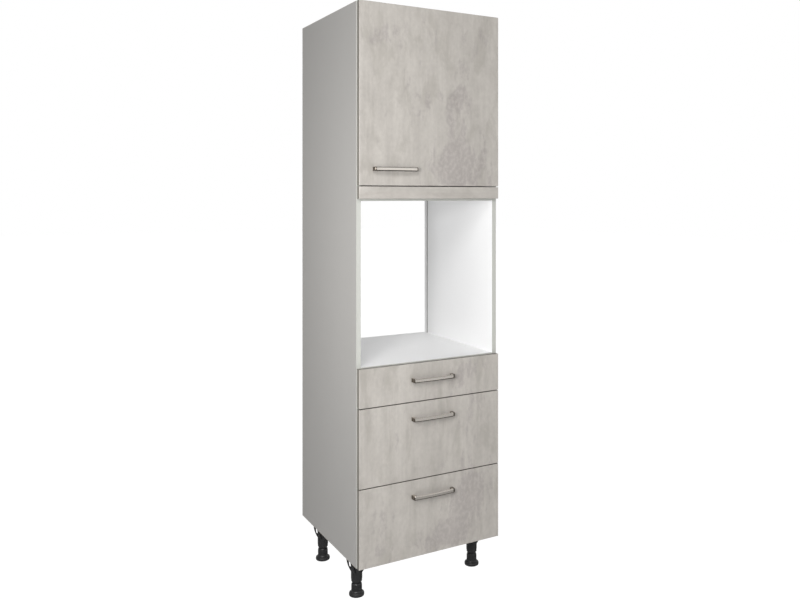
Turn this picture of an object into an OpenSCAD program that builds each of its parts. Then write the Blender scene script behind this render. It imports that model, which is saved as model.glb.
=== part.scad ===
// Tall kitchen cabinet for a built-in oven: a door above an open niche, three drawers below it, four legs.
// Units are millimetres. +Z is up, the front faces -Y and +X is on the right as seen from the front.
// The origin is on the floor, under the middle of the whole cabinet, its handles included.

/* [Carcass] */
// Outside width of the cabinet
cab_w = 600; // [500:10:900]
// Depth of the carcass without its fronts
cab_d = 560; // [550:5:600]
// Thickness of the carcass panels
panel_t = 18; // [16:1:19]
// Thickness of the back panels
back_t = 8; // [5:1:10]
// Clear height of the oven niche
niche_h = 600; // [590:1:620]
// Height of the legs
leg_h = 150; // [140:1:170]

/* [Fronts] */
// Thickness of the door, the drawer fronts and the filler
front_t = 19; // [18:1:22]
// Gap between the fronts and the carcass
front_gap = 2; // [2:0.5:3]
// Gap between one front and the next
seam = 3; // [2:0.5:4]
// Distance of the fronts from the cabinet's outer faces
side_reveal = 2.5; // [1.5:0.5:3]
// Height of the shallow drawer's front and one seam; a deep drawer has twice this
front_module = 144; // [140:1:160]
// Height of the door
door_h = 664; // [600:2:900]
// Height of the fixed filler panel
filler_h = 45; // [40:1:80]

/* [Handles] */
// Distance between the two screws of a handle
handle_pitch = 160; // [128:32:224]
// Distance from a front to the outermost point of its handle
handle_proj = 28; // [26:1:34]
// Height of the handle's bar
handle_h = 15; // [12:1:18]
// Distance from a handle to the edge of its front
handle_inset = 60; // [45:1:64]

/* [Drawers and hinges] */
// Length of the cabinet members of the runners
runner_l = 500; // [450:10:510]
// Distance from the door's ends to the middles of its hinges
hinge_inset = 96; // [80:1:120]

/* [Hidden] */
$fn = 48;
ease = 0.05;

// levels and faces of the cabinet
side_x = cab_w / 2 - panel_t;
rear_y = (cab_d + front_gap + front_t + handle_proj) / 2;
carcass_y = rear_y - cab_d;
front_back_y = carcass_y - front_gap;
front_y = front_back_y - front_t;
base_z = leg_h;
floor_z = base_z + 5 * front_module;
ceiling_z = floor_z + niche_h;
filler_drop = 8;
filler_z = ceiling_z + filler_drop;
door_z = filler_z + filler_h + seam;
top_z = door_z + door_h;
front_x = cab_w / 2 - side_reveal;
edge_r = 2;
screw_r = 2;

// grooves for the backs, dowels and shelf pins
groove_inset = 20;
groove_w = back_t + 0.2;
groove_d = 8;
dowel_r = 4;
dowel_in_side = 12;
dowel_in_panel = 20;
pin_r = 2.5;
pin_hole_d = 10.5;
pin_pitch = 32;
pin_column = 37;
shelf_z = ceiling_z + panel_t + 10 * pin_pitch;
rail_h = 90;
wall_hole_x = 180;

// concealed hinge: points in plan, from the front inner corner of the right side panel at the hinge's height
cup_x = panel_t - side_reveal - 22.5;
cup_r = 17.5;
cup_d = 12.5;
plate_y = 37;
arm_outer = [-18.4, 18];
arm_inner = [-24.9, 1];
cup_outer = [5.6, -4];
cup_inner = [1.7, -9.8];
knee_outer = [1, -4.3];
knee_inner = [-4.3, -10];
// middle of the slot that the inner links' pin moves in as the door turns
cup_slot = [1.15, -8.55];
slot_r = 2.85;
hinge_pin_r = 1.25;
eye_r = 2.6;
link_w = 3;
// half heights: inner bar, inside and outside of the outer links, inside and outside of the arm's cheeks
link_z = [4, 4.6, 6.6, 7.2, 8.7];

// drawers: 1 is the shallow one at the top
drawer_sheet = 1.2;
side_wall = [3, 16];
side_heights = [66, 84, 84];
back_heights = [60, 150, 150];
runner_lift = [12, 24, 24];
base_t = 16;
box_l = 490;
member_l = runner_l - 20;
track = [14, 40];
track_h = 13;
runner_h = 30.8;
rod_r = 5;
rod_v = 170;

// legs
leg_x = cab_w / 2 - 48;
leg_front_y = carcass_y + 106;
leg_rear_y = rear_y - 110;
plate_t = 5;
stem_r = 14.5;
sleeve_z = 46;
mouth_z = 50.5;
boss_d = 32;
// the outer edge of a web is an arc: its middle, from the socket's axis and the plate's underside, and its radius
web_mid = [-52, -2];
web_r = 93;

grey = "#b5b5b1";
white = "#f1f1ef";
concrete = "#c4bfb9";
steel = "#a9a6a0";
zinc = "#b9bcc0";
black = "#2a2a2a";

// ---- helpers -------------------------------------------------------------------------------------

// a box from its lowest to its highest corner
module block(low, high)
{
    translate(low) cube(high - low);
}

// a rectangle from its lowest to its highest corner
module square_from(low, high)
{
    translate(low) square(high - low);
}

// a round bar along X, from x0 to x1
module bar_x(r, x0, x1, y, z)
{
    translate([x0, y, z]) rotate([0, 90, 0]) cylinder(h = x1 - x0, r = r);
}

// a round bar along Y, from y0 to y1
module bar_y(r, y0, y1, x, z)
{
    translate([x, y1, z]) rotate([90, 0, 0]) cylinder(h = y1 - y0, r = r);
}

// a flat shape drawn in X and Z, extruded from y0 to y1
module along_y(y0, y1)
{
    translate([0, y1, 0]) rotate([90, 0, 0]) linear_extrude(y1 - y0) children();
}

// a flat shape drawn in Y and Z, extruded from x0 to x1
module along_x(x0, x1)
{
    translate([x0, 0, 0]) rotate([90, 0, 90]) linear_extrude(x1 - x0) children();
}

// children drawn inwards from the left side panel's inner face, for the left and the right
module both_sides()
{
    for (side = [0, 1]) mirror([side, 0, 0]) translate([-side_x, 0, 0]) children();
}

// a rectangle from low to high, its corners at low Y eased with a radius
module eased_low(low, high, r)
{
    translate([low[0], low[1] + r]) square([high[0] - low[0], high[1] - low[1] - r]);
    translate([low[0] + r, low[1]]) square([high[0] - low[0] - 2 * r, high[1] - low[1]]);
    for (x = [low[0] + r, high[0] - r]) translate([x, low[1] + r]) circle(r);
}

// a rectangle from low to high, its corners at low X eased with a radius
module eased_left(low, high, r)
{
    translate([low[0] + r, low[1]]) square([high[0] - low[0] - r, high[1] - low[1]]);
    translate([low[0], low[1] + r]) square([high[0] - low[0], high[1] - low[1] - 2 * r]);
    for (y = [low[1] + r, high[1] - r]) translate([low[0] + r, y]) circle(r);
}

// a round-ended flat bar from a to b
module strap(a, b, w)
{
    d = b - a;
    translate(a) rotate(atan2(d[1], d[0])) translate([0, -w / 2]) square([norm(d), w]);
    for (p = [a, b]) translate(p) circle(d = w);
}

// ---- carcass -------------------------------------------------------------------------------------

panel_levels = [base_z, floor_z - panel_t, ceiling_z, top_z - panel_t];
dowel_ys = [carcass_y + 60, rear_y - 90];
pin_ys = [carcass_y + pin_column, rear_y - groove_inset - groove_w - pin_column];

module back_groove(low_z, high_z, x0, x1)
{
    y1 = rear_y - groove_inset;
    block([x0, y1 - groove_w, low_z], [x1, y1, high_z]);
}

// the left panel; the right one is its mirror image
module side_panel()
{
    color(grey) difference()
    {
        block([-cab_w / 2, carcass_y, base_z], [-side_x, rear_y, top_z]);
        back_groove(base_z + panel_t - groove_d, top_z - panel_t + groove_d, -side_x - groove_d, -side_x + 1);
        for (z = panel_levels, y = dowel_ys)
            bar_x(dowel_r + ease, -side_x - dowel_in_side - 0.5, -side_x + 1, y, z + panel_t / 2);
        for (k = [-3:3], y = pin_ys)
            bar_x(pin_r + ease, -side_x - pin_hole_d, -side_x + 1, y, shelf_z - pin_r + k * pin_pitch);
    }
}

module side_left()
{
    side_panel();
}

module side_right()
{
    mirror([1, 0, 0]) side_panel();
}

// a panel between the sides, with the groove for a back above (1) or below (-1) it
module level_panel(z, groove)
{
    color(white) difference()
    {
        block([-side_x, carcass_y, z], [side_x, rear_y, z + panel_t]);
        if (groove > 0) back_groove(z + panel_t - groove_d, z + panel_t + 1, -side_x - 1, side_x + 1);
        if (groove < 0) back_groove(z - 1, z + groove_d, -side_x - 1, side_x + 1);
        for (y = dowel_ys) both_sides()
            bar_x(dowel_r + ease, -1, dowel_in_panel + 0.5, y, z + panel_t / 2);
    }
}

module bottom_panel()
{
    level_panel(base_z, 1);
}

module niche_floor()
{
    level_panel(floor_z - panel_t, -1);
}

module niche_ceiling()
{
    level_panel(ceiling_z, 1);
}

module top_panel()
{
    level_panel(top_z - panel_t, -1);
}

// a back between two levels, standing in their grooves
module back_panel(low_z, high_z)
{
    y1 = rear_y - groove_inset - 0.1;
    x = side_x + groove_d - 0.5;
    block([-x, y1 - back_t, low_z - groove_d], [x, y1, high_z + groove_d - 0.5]);
}

module back_lower()
{
    color(white) back_panel(base_z + panel_t, floor_z - panel_t);
}

// the wall screws reach the rail through the two holes in this back
module back_upper()
{
    color(white) difference()
    {
        back_panel(ceiling_z + panel_t, top_z - panel_t);
        for (x = [-wall_hole_x, wall_hole_x])
            bar_y(6, rear_y - 60, rear_y, x, top_z - panel_t - rail_h / 2);
    }
}

module wall_rail()
{
    z = top_z - panel_t;
    color(white) difference()
    {
        block([-side_x, rear_y - panel_t, z - rail_h], [side_x, rear_y, z]);
        for (x = [-wall_hole_x, wall_hole_x]) bar_y(4, rear_y - 30, rear_y + 1, x, z - rail_h / 2);
    }
}

module upper_shelf()
{
    color(white) block([-side_x + 1, carcass_y + 20, shelf_z],
                       [side_x - 1, rear_y - groove_inset - groove_w - 2, shelf_z + panel_t]);
}

module shelf_pins()
{
    z = shelf_z - pin_r;
    color(zinc) both_sides() for (y = pin_ys)
    {
        bar_x(pin_r, -pin_hole_d + 0.5, 9, y, z);
        bar_x(pin_r + 1, 0, 1, y, z);
    }
}

module dowels()
{
    color("tan") both_sides() for (z = panel_levels, y = dowel_ys)
        bar_x(dowel_r, -dowel_in_side, dowel_in_panel, y, z + panel_t / 2);
}

module filler_panel()
{
    color(concrete) front_board([-front_x, filler_z], [front_x, filler_z + filler_h]);
}

// two steel angles on the ceiling shelf hold the filler
module filler_brackets()
{
    z = ceiling_z + panel_t;
    color(zinc) for (x = [-200, 200])
    {
        block([x - 15, front_back_y, z], [x + 15, carcass_y, filler_z + filler_h - 6]);
        block([x - 15, carcass_y, z], [x + 15, carcass_y + 28, z + front_gap]);
    }
}

// ---- fronts and handles --------------------------------------------------------------------------

// a front with eased visible edges, from low [x, z] to high [x, z]
module front_board(low, high)
{
    intersection()
    {
        translate([0, 0, low[1]]) linear_extrude(high[1] - low[1])
            eased_low([low[0], front_y], [high[0], front_back_y], edge_r);
        along_x(low[0], high[0]) eased_left([front_y, low[1]], [front_back_y, high[1]], edge_r);
    }
}

// a bow handle with bevelled edges, rounded ends and two screws, its middle at [x, z] on a front's face
module bow_handle(x, z)
{
    half_l = handle_pitch / 2 + 8;
    bow = 4;
    thick = 6.5;
    bevel = [2.4, 3.4];
    end_r = 4.5;
    bend_r = (half_l * half_l + bow * bow) / (2 * bow);
    half_angle = asin((half_l - end_r) / bend_r);
    // the ends' rounding stays a hair behind the bar's face
    mid_r = bend_r - end_r - 0.15;
    mid = [mid_r * sin(half_angle), bend_r - mid_r * cos(half_angle)];
    h = handle_h / 2;
    color(steel) translate([x, front_y - handle_proj, z])
    {
        translate([0, bend_r, 0]) rotate(-90 - half_angle) rotate_extrude(angle = 2 * half_angle, $fn = 720)
            polygon([[bend_r - thick, -h + 1], [bend_r - thick + 1, -h], [bend_r - bevel[0], -h],
                     [bend_r, -h + bevel[1]], [bend_r, h - bevel[1]], [bend_r - bevel[0], h],
                     [bend_r - thick + 1, h], [bend_r - thick, h - 1]]);
        for (side = [0, 1]) mirror([side, 0, 0])
        {
            translate(mid) rotate_extrude()
                polygon([[0, -h], [end_r - bevel[0], -h], [end_r, -h + bevel[1]], [end_r, h - bevel[1]],
                         [end_r - bevel[0], h], [0, h]]);
            translate([0, 0, -h + 0.5]) linear_extrude(handle_h - 1)
                polygon([[half_l - 11, handle_proj], [half_l - 14, bow + thick - 2], mid,
                         mid + [end_r - 0.3, 0], [mid[0] + end_r - 0.3, handle_proj]]);
        }
    }
    color(steel) for (side = [-1, 1])
    {
        bar_y(screw_r, front_y - 1, front_back_y + 1, x + side * handle_pitch / 2, z);
        bar_y(2 * screw_r, front_back_y, front_back_y + screw_r, x + side * handle_pitch / 2, z);
    }
}

module handle_holes(x, z)
{
    for (side = [-1, 1]) bar_y(screw_r + 0.25, front_y - 1, front_back_y + 1, x + side * handle_pitch / 2, z);
}

door_handle_x = -front_x + handle_inset + handle_pitch / 2;
door_handle_z = door_z + handle_inset;

module door_panel()
{
    color(concrete) difference()
    {
        front_board([-front_x, door_z], [front_x, top_z]);
        handle_holes(door_handle_x, door_handle_z);
        at_hinges() bar_y(cup_r, -front_gap - cup_d, 0, cup_x, 0);
    }
}

module door_handle()
{
    bow_handle(door_handle_x, door_handle_z);
}

module door_bumpers()
{
    color(white) for (z = [door_z + 20, top_z - 9])
        bar_y(4, front_back_y, carcass_y - 0.3, -cab_w / 2 + panel_t / 2, z);
}

// ---- concealed hinges ----------------------------------------------------------------------------

// children drawn at the front inner corner of the right side panel, at the height of each hinge
module at_hinges()
{
    for (z = [door_z + hinge_inset, top_z - hinge_inset]) translate([side_x, carcass_y, z]) children();
}

// a flat shape in plan, from z0 to z1 and from -z1 to -z0
module cheeks(z0, z1)
{
    for (side = [0, 1]) mirror([0, 0, side]) translate([0, 0, z0]) linear_extrude(z1 - z0) children();
}

module hinge_plates()
{
    color(zinc) at_hinges()
    {
        block([-2, plate_y - 6, -20], [0, plate_y + 6, 20]);
        for (z = [-20, 20])
        {
            bar_x(6, -2, 0, plate_y, z);
            bar_x(3.8, -3.4, -2, plate_y, z);
        }
        block([-13, 20, -link_z[3] + 0.4], [0, 64, link_z[3] - 0.4]);
    }
}

// pressed channel: two cheeks that hold the pins of the links, and the web that joins them
module hinge_arms()
{
    color(zinc) at_hinges()
    {
        cheeks(link_z[3], link_z[4]) arm_outline();
        translate([0, 0, -link_z[4]]) linear_extrude(2 * link_z[4]) arm_web_outline();
        for (p = [arm_outer, arm_inner]) upright_pin(p, link_z[4]);
        bar_x(3.5, -17.4, -16, 56, 0);
    }
}

module arm_outline()
{
    polygon([[-2.2, 66], [-16, 66], [-16, 46], [-29.3, 24], [-29.3, 0.5], arm_inner + [-2, -1],
             arm_inner + [2.4, 1], [-19, 12], [-15, 15], [-10, 26], [-2.2, 34]]);
    translate(arm_inner) circle(eye_r);
}

module arm_web_outline()
{
    polygon([[-14.5, 66], [-16, 66], [-16, 46], [-29.3, 24], [-29.3, 1], [-27.9, 1], [-27.9, 23.6],
             [-14.5, 45.6]]);
}

// a pin along Z at a point of the plan
module upright_pin(p, half_l)
{
    translate([p[0], p[1], -half_l]) cylinder(h = 2 * half_l, r = hinge_pin_r);
}

// pressed cup with two screw wings, the outer links' pin and the slotted lugs of the inner links
module hinge_cups()
{
    floor_y = -front_gap - cup_d;
    color(zinc) at_hinges()
    {
        difference()
        {
            union()
            {
                bar_y(cup_r - ease, floor_y + 0.1, -front_gap, cup_x, 0);
                for (side = [0, 1]) mirror([0, 0, side]) along_y(-front_gap, -0.8) cup_wing_outline();
            }
            bar_y(cup_r - 1.5, floor_y + 1.5, 1, cup_x, 0);
            block([cup_x - 15.6, floor_y + 1.5, -link_z[3] + 0.3], [cup_x + 15.5, 1, link_z[3] - 0.3]);
            block([cup_x, floor_y + 6, -link_z[3] + 0.3], [cup_x + 18, 1, link_z[3] - 0.3]);
        }
        cheeks(link_z[3], link_z[3] + 1.2) difference()
        {
            union()
            {
                translate(cup_slot) circle(slot_r + 1);
                square_from([cup_slot[0] - slot_r - 1, floor_y + 1], [cup_slot[0] + slot_r + 1, cup_slot[1]]);
            }
            translate(cup_slot) circle(slot_r);
        }
        upright_pin(cup_outer, 10.5);
        for (z = [-24, 24]) bar_y(3.4, -0.8, 0.4, cup_x - 9.5, z);
    }
}

// one wing in X and Z, above the cup's middle
module cup_wing_outline()
{
    square_from([cup_x - 13, 10], [cup_x + 11, 20]);
    square_from([cup_x - 15, 14], [cup_x - 4, 24]);
    translate([cup_x - 9.5, 24]) circle(5.5);
}

// the outer links: two cheeks on a common barrel
module hinge_outer_links()
{
    color(zinc) at_hinges() difference()
    {
        union()
        {
            cheeks(link_z[1], link_z[2]) link_outline(arm_outer, knee_outer, cup_outer);
            translate([arm_outer[0], arm_outer[1], -link_z[1]]) cylinder(h = 2 * link_z[1], r = eye_r);
        }
        for (p = [arm_outer, cup_outer]) translate([p[0], p[1], -10]) cylinder(h = 20, r = hinge_pin_r + ease);
    }
}

// the inner links: a bar between the cheeks of the outer links, its cup pin loose in the cup's slots
module hinge_inner_links()
{
    color(zinc) at_hinges()
    {
        difference()
        {
            translate([0, 0, -link_z[0]]) linear_extrude(2 * link_z[0])
                link_outline(arm_inner, knee_inner, cup_inner);
            translate([arm_inner[0], arm_inner[1], -10]) cylinder(h = 20, r = hinge_pin_r + ease);
        }
        upright_pin(cup_inner, link_z[3] + 1);
    }
}

module link_outline(a, knee, b)
{
    strap(a, knee, link_w);
    strap(knee, b, link_w);
    for (p = [a, b]) translate(p) circle(eye_r);
}

// ---- drawers -------------------------------------------------------------------------------------

function drawer_front_z(n) = base_z + [4, 2, 0][n - 1] * front_module;
function drawer_front_h(n) = (n == 1 ? 1 : 2) * front_module - seam;
function runner_z(n) = drawer_front_z(n) + runner_lift[n - 1];
function box_z(n) = runner_z(n) + runner_h;
side_y0 = front_back_y + 3;
side_y1 = side_y0 + box_l;

module drawer_front(n)
{
    z = drawer_front_z(n);
    high_z = z + drawer_front_h(n);
    color(concrete) difference()
    {
        front_board([-front_x, z], [front_x, high_z]);
        handle_holes(0, high_z - handle_inset);
    }
}

module drawer_handle(n)
{
    bow_handle(0, drawer_front_z(n) + drawer_front_h(n) - handle_inset);
}

// an upright rectangle with its two top corners rounded
module round_top(low, high, r)
{
    translate(low) square([high[0] - low[0], high[1] - low[1] - r]);
    translate([low[0] + r, low[1]]) square([high[0] - low[0] - 2 * r, high[1] - low[1]]);
    for (x = [low[0] + r, high[0] - r]) translate([x, high[1] - r]) circle(r);
}

// double-walled steel sides, each with a foot under the base
module drawer_sides(n)
{
    t = drawer_sheet;
    h = side_heights[n - 1];
    color(white) both_sides() translate([0, 0, box_z(n)]) along_y(side_y0, side_y1)
    {
        difference()
        {
            round_top([side_wall[0], 0], [side_wall[1], h], 4);
            round_top([side_wall[0] + t, t], [side_wall[1] - t, h - t], 4 - t);
        }
        square_from([side_wall[0] + 1, 0], [track[1], t]);
    }
}

module drawer_base(n)
{
    z = box_z(n) + drawer_sheet;
    x = side_x - side_wall[1] - 0.1;
    color(white) block([-x, front_back_y, z], [x, side_y1 - 13, z + base_t]);
}

module drawer_back(n)
{
    z = box_z(n) + drawer_sheet;
    x = side_x - side_wall[1] - 0.1;
    color(white) block([-x, side_y1 - 13, z], [x, side_y1 + 3, z + back_heights[n - 1]]);
}

// plates that join the sides to the front and the back; on a deep drawer they carry the rods too
module drawer_brackets(n)
{
    deep = n > 1;
    h = deep ? rod_v + 9 : side_heights[n - 1];
    mid = (side_wall[0] + side_wall[1]) / 2;
    color(zinc) both_sides() translate([0, 0, box_z(n)])
    {
        for (y = [front_back_y, side_y1]) along_y(y, y + 3) round_top([side_wall[0], 0], [side_wall[1], h], 5);
        block([side_wall[0] + 1.6, side_y0, 6], [side_wall[1] - 1.6, side_y0 + 30, side_heights[n - 1] - 6]);
        if (deep) for (y = [side_y0, side_y1 - 14]) difference()
        {
            bar_y(7, y, y + 14, mid, rod_v);
            bar_y(rod_r + ease, side_y0 + 4, side_y1 - 4, mid, rod_v);
        }
    }
}

module drawer_rods(n)
{
    mid = (side_wall[0] + side_wall[1]) / 2;
    color(zinc) both_sides() bar_y(rod_r, side_y0 + 4.5, side_y1 - 4.5, mid, box_z(n) + rod_v);
}

// ---- runners -------------------------------------------------------------------------------------

// an open channel whose mouth has inward lips
module lipped_channel(w, h, t, lip)
{
    difference()
    {
        square([w, h]);
        translate([t, t]) square([w - 2 * t, h - 2 * t]);
        translate([t + lip, h / 2]) square([w - 2 * (t + lip), h]);
    }
}

// the half of the middle member that runs in one channel: a hollow foot and half of the neck
module member_half(w, t)
{
    foot_h = 9.2;
    neck_w = 12;
    difference()
    {
        translate([-w / 2, 0]) square([w, foot_h]);
        translate([-w / 2 + t, -1]) square([w - 2 * t, foot_h + 1 - t]);
    }
    difference()
    {
        translate([-neck_w / 2, foot_h - t]) square([neck_w, 7]);
        translate([-neck_w / 2 + t, foot_h]) square([neck_w - 2 * t, 8]);
    }
}

track_w = track[1] - track[0];
track_mid = (track[0] + track[1]) / 2;
track_sheet = 1.5;

// the member on the side panel: a wall leg with screw holes and slots, a floor strip and the track
module runner_cabinet(n)
{
    y0 = carcass_y + 3;
    color(zinc) both_sides() translate([0, 0, runner_z(n)]) difference()
    {
        along_y(y0, y0 + runner_l)
        {
            square([track_sheet, 40]);
            square([track[0] + 2, track_sheet]);
            translate([track[0], 0]) lipped_channel(track_w, track_h, track_sheet, 3);
        }
        for (y = [34, 66, 258, 450]) bar_x(2.1, -1, track_sheet + 1, y0 + y, 20);
        for (y = [90, 170, 290, 370]) along_x(-1, track_sheet + 1)
        {
            square_from([y0 + y, 16], [y0 + y + 56, 24]);
            for (end = [0, 56]) translate([y0 + y + end, 20]) circle(4);
        }
    }
}

module runner_middle(n)
{
    y0 = carcass_y + 8;
    color(zinc) both_sides() translate([track_mid, 0, runner_z(n) + runner_h / 2]) along_y(y0, y0 + member_l)
        for (side = [0, 1]) mirror([0, side]) translate([0, -13.5]) member_half(track_w - 4, track_sheet);
}

module runner_drawer(n)
{
    y0 = side_y0 + 2;
    color(zinc) both_sides() translate([track[0], 0, box_z(n)]) along_y(y0, y0 + member_l)
        mirror([0, 1]) lipped_channel(track_w, track_h, track_sheet, 3);
}

// ---- legs ----------------------------------------------------------------------------------------

// children drawn on the floor under the middle of a leg
module at_leg(side, y)
{
    translate([side * leg_x, y, 0]) children();
}

// square plate with a screw boss and a pierced web in each corner, and the round socket of the foot
module leg_mount()
{
    plate_z = base_z - plate_t;
    color(black) difference()
    {
        union()
        {
            translate([0, 0, plate_z]) linear_extrude(plate_t) leg_plate_outline();
            rotate_extrude() socket_section(plate_z);
            for (a = [45:90:315]) rotate(a) translate([0, 0, plate_z])
            {
                along_y(-1.2, 1.2) web_outline(web_r - 1);
                along_y(-3, 3) difference()
                {
                    web_outline(web_r);
                    translate(web_mid) circle(web_r - 2.2, $fn = 180);
                }
                translate([boss_d * sqrt(2), 0, -8]) cylinder(h = 8 + plate_t / 2, r = 5.6);
            }
            for (a = [0:45:315]) rotate(a + 22.5) translate([18.5, -1.5, mouth_z + 12]) cube([2.6, 3, 66]);
        }
        translate([0, 0, mouth_z - 1]) cylinder(h = plate_z - mouth_z - 3, r = stem_r + ease);
    }
}

module leg_plate_outline()
{
    for (turn = [0, 90]) rotate(turn) square([2 * boss_d + 12, 2 * boss_d], center = true);
    for (x = [-boss_d, boss_d], y = [-boss_d, boss_d]) translate([x, y]) circle(6);
}

// half section of the socket: a bevelled mouth, a straight body and a flare under the plate
module socket_section(plate_z)
{
    polygon([[0, mouth_z], [16.5, mouth_z], [17.5, mouth_z + 0.5], [20.3, mouth_z + 4], [20.3, plate_z - 14],
             [22, plate_z - 5], [25, plate_z], [0, plate_z]]);
}

// one web, from the socket's axis outwards and from the plate's underside down, with its slot
module web_outline(r)
{
    difference()
    {
        intersection()
        {
            translate(web_mid) circle(r, $fn = 180);
            square_from([15, -80], [50, 1]);
        }
        strap([30, -15], [26.2, -40], 6.5);
    }
}

// base, ribbed sleeve and the stem that runs in the socket
module foot()
{
    rib = 4;
    stem_z = base_z - plate_t - 8;
    color(black) rotate_extrude() union()
    {
        polygon([[0, 0], [26, 0], [27.8, 1], [28.5, 3], [28.5, 8], [27.5, 11], [24.5, 13.5], [21, 15.5],
                 [19.2, 19], [19.2, sleeve_z - 2.5], [17.5, sleeve_z], [stem_r, sleeve_z], [stem_r, stem_z - 2],
                 [stem_r - 1.5, stem_z], [0, stem_z]]);
        for (k = [0:4]) translate([18, 20.5 + k * rib]) square([2, rib / 2]);
    }
}

// ---- drawing -------------------------------------------------------------------------------------

side_left();
side_right();
top_panel();
bottom_panel();
niche_floor();
niche_ceiling();
filler_panel();
filler_brackets();
back_upper();
back_lower();
wall_rail();
upper_shelf();
shelf_pins();
dowels();
hinge_plates();
hinge_arms();
runner_cabinet(1);  // drawer_1_runner_cabinet
runner_cabinet(2);  // drawer_2_runner_cabinet
runner_cabinet(3);  // drawer_3_runner_cabinet
at_leg(-1, leg_front_y) leg_mount();  // leg_mount_front_left
at_leg(1, leg_front_y) leg_mount();  // leg_mount_front_right
at_leg(-1, leg_rear_y) leg_mount();  // leg_mount_rear_left
at_leg(1, leg_rear_y) leg_mount();  // leg_mount_rear_right
at_leg(-1, leg_front_y) foot();  // foot_front_left
at_leg(1, leg_front_y) foot();  // foot_front_right
at_leg(-1, leg_rear_y) foot();  // foot_rear_left
at_leg(1, leg_rear_y) foot();  // foot_rear_right
door_panel();
door_handle();
door_bumpers();
hinge_cups();
hinge_outer_links();
hinge_inner_links();
drawer_front(1);  // drawer_1_front
drawer_handle(1);  // drawer_1_handle
drawer_sides(1);  // drawer_1_sides
drawer_base(1);  // drawer_1_base
drawer_back(1);  // drawer_1_back
drawer_brackets(1);  // drawer_1_brackets
runner_drawer(1);  // drawer_1_runner_drawer
runner_middle(1);  // drawer_1_runner_middle
drawer_front(2);  // drawer_2_front
drawer_handle(2);  // drawer_2_handle
drawer_sides(2);  // drawer_2_sides
drawer_base(2);  // drawer_2_base
drawer_back(2);  // drawer_2_back
drawer_brackets(2);  // drawer_2_brackets
drawer_rods(2);  // drawer_2_rods
runner_drawer(2);  // drawer_2_runner_drawer
runner_middle(2);  // drawer_2_runner_middle
drawer_front(3);  // drawer_3_front
drawer_handle(3);  // drawer_3_handle
drawer_sides(3);  // drawer_3_sides
drawer_base(3);  // drawer_3_base
drawer_back(3);  // drawer_3_back
drawer_brackets(3);  // drawer_3_brackets
drawer_rods(3);  // drawer_3_rods
runner_drawer(3);  // drawer_3_runner_drawer
runner_middle(3);  // drawer_3_runner_middle
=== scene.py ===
# %% [markdown]
# # A tall kitchen cabinet for a built-in oven
# The cabinet stands on four black plastic legs. It has one door at the top, an open niche for the oven and
# three drawers. Its measured parts come ready made, in metres, with +Z up and the front facing -Y. This
# notebook adds what a frame of plain parts lacks: the camera, the light, the finishes and the small fixings.

# %% Load the measured parts
import math
import bpy
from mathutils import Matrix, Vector


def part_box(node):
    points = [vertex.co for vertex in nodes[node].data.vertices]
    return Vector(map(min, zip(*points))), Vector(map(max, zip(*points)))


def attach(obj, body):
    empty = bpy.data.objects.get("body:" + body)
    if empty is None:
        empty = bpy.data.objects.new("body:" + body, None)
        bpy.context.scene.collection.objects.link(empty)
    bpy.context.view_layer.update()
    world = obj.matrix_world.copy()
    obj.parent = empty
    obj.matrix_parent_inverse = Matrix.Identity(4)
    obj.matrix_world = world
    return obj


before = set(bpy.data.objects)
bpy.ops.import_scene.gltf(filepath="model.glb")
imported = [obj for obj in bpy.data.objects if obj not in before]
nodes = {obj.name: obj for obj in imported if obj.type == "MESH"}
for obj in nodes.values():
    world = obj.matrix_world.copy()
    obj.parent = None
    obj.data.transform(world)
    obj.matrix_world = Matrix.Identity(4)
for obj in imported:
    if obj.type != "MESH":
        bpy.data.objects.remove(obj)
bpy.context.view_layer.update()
MM = 0.001

# %% [markdown]
# ## The camera
# The photograph is taken from the front left, a little below the door's handle. All upright edges stay
# parallel in it, so the camera is level and its view is shifted instead of tilted. Its place comes from
# fitting the corners of the fronts and of the side panel, and the focal length from how fast the edges meet.

# %% Place the camera
FRAME_WIDTH, FRAME_HEIGHT = 800, 600
SENSOR_WIDTH = 36
focal_px = 806.6
centre_px = (446.5, 195.5)
yaw = math.radians(29.956)

camera_data = bpy.data.cameras.new("camera")
camera_data.sensor_width = SENSOR_WIDTH
camera_data.lens = focal_px / FRAME_WIDTH * SENSOR_WIDTH
camera_data.shift_x = (FRAME_WIDTH / 2 - centre_px[0]) / FRAME_WIDTH
camera_data.shift_y = (centre_px[1] - FRAME_HEIGHT / 2) / FRAME_WIDTH
camera = bpy.data.objects.new("camera", camera_data)
bpy.context.scene.collection.objects.link(camera)
camera.location = (-1.465, -2.926, 1.490)
camera.rotation_euler = (math.radians(90), 0, -yaw)
bpy.context.scene.camera = camera
bpy.context.scene.view_settings.view_transform = "Standard"
print(f"lens {camera_data.lens:.1f} mm, shift {camera_data.shift_x:.4f} {camera_data.shift_y:.4f}")

# %% [markdown]
# ## Helpers for the finishes
# Colours are written as the hex values a painter would pick on a screen, and one function turns them into the
# linear values that the renderer works with. A second function adds one node with its settings and links, so
# that each material below reads as a short list of what it is made of. Nearly every coated or moulded surface
# here has a fine, even texture that only catches the light, so a third function makes that texture.

# %% Helpers for colours and nodes
MIX = "ShaderNodeMix"


def linear(hex_colour):
    """The linear colour, with alpha, of a screen colour such as '#c8c4be'."""
    values = [int(hex_colour[i:i + 2], 16) / 255 for i in (1, 3, 5)]
    return tuple(v / 12.92 if v <= 0.04045 else ((v + 0.055) / 1.055) ** 2.4 for v in values) + (1.0,)


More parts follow.
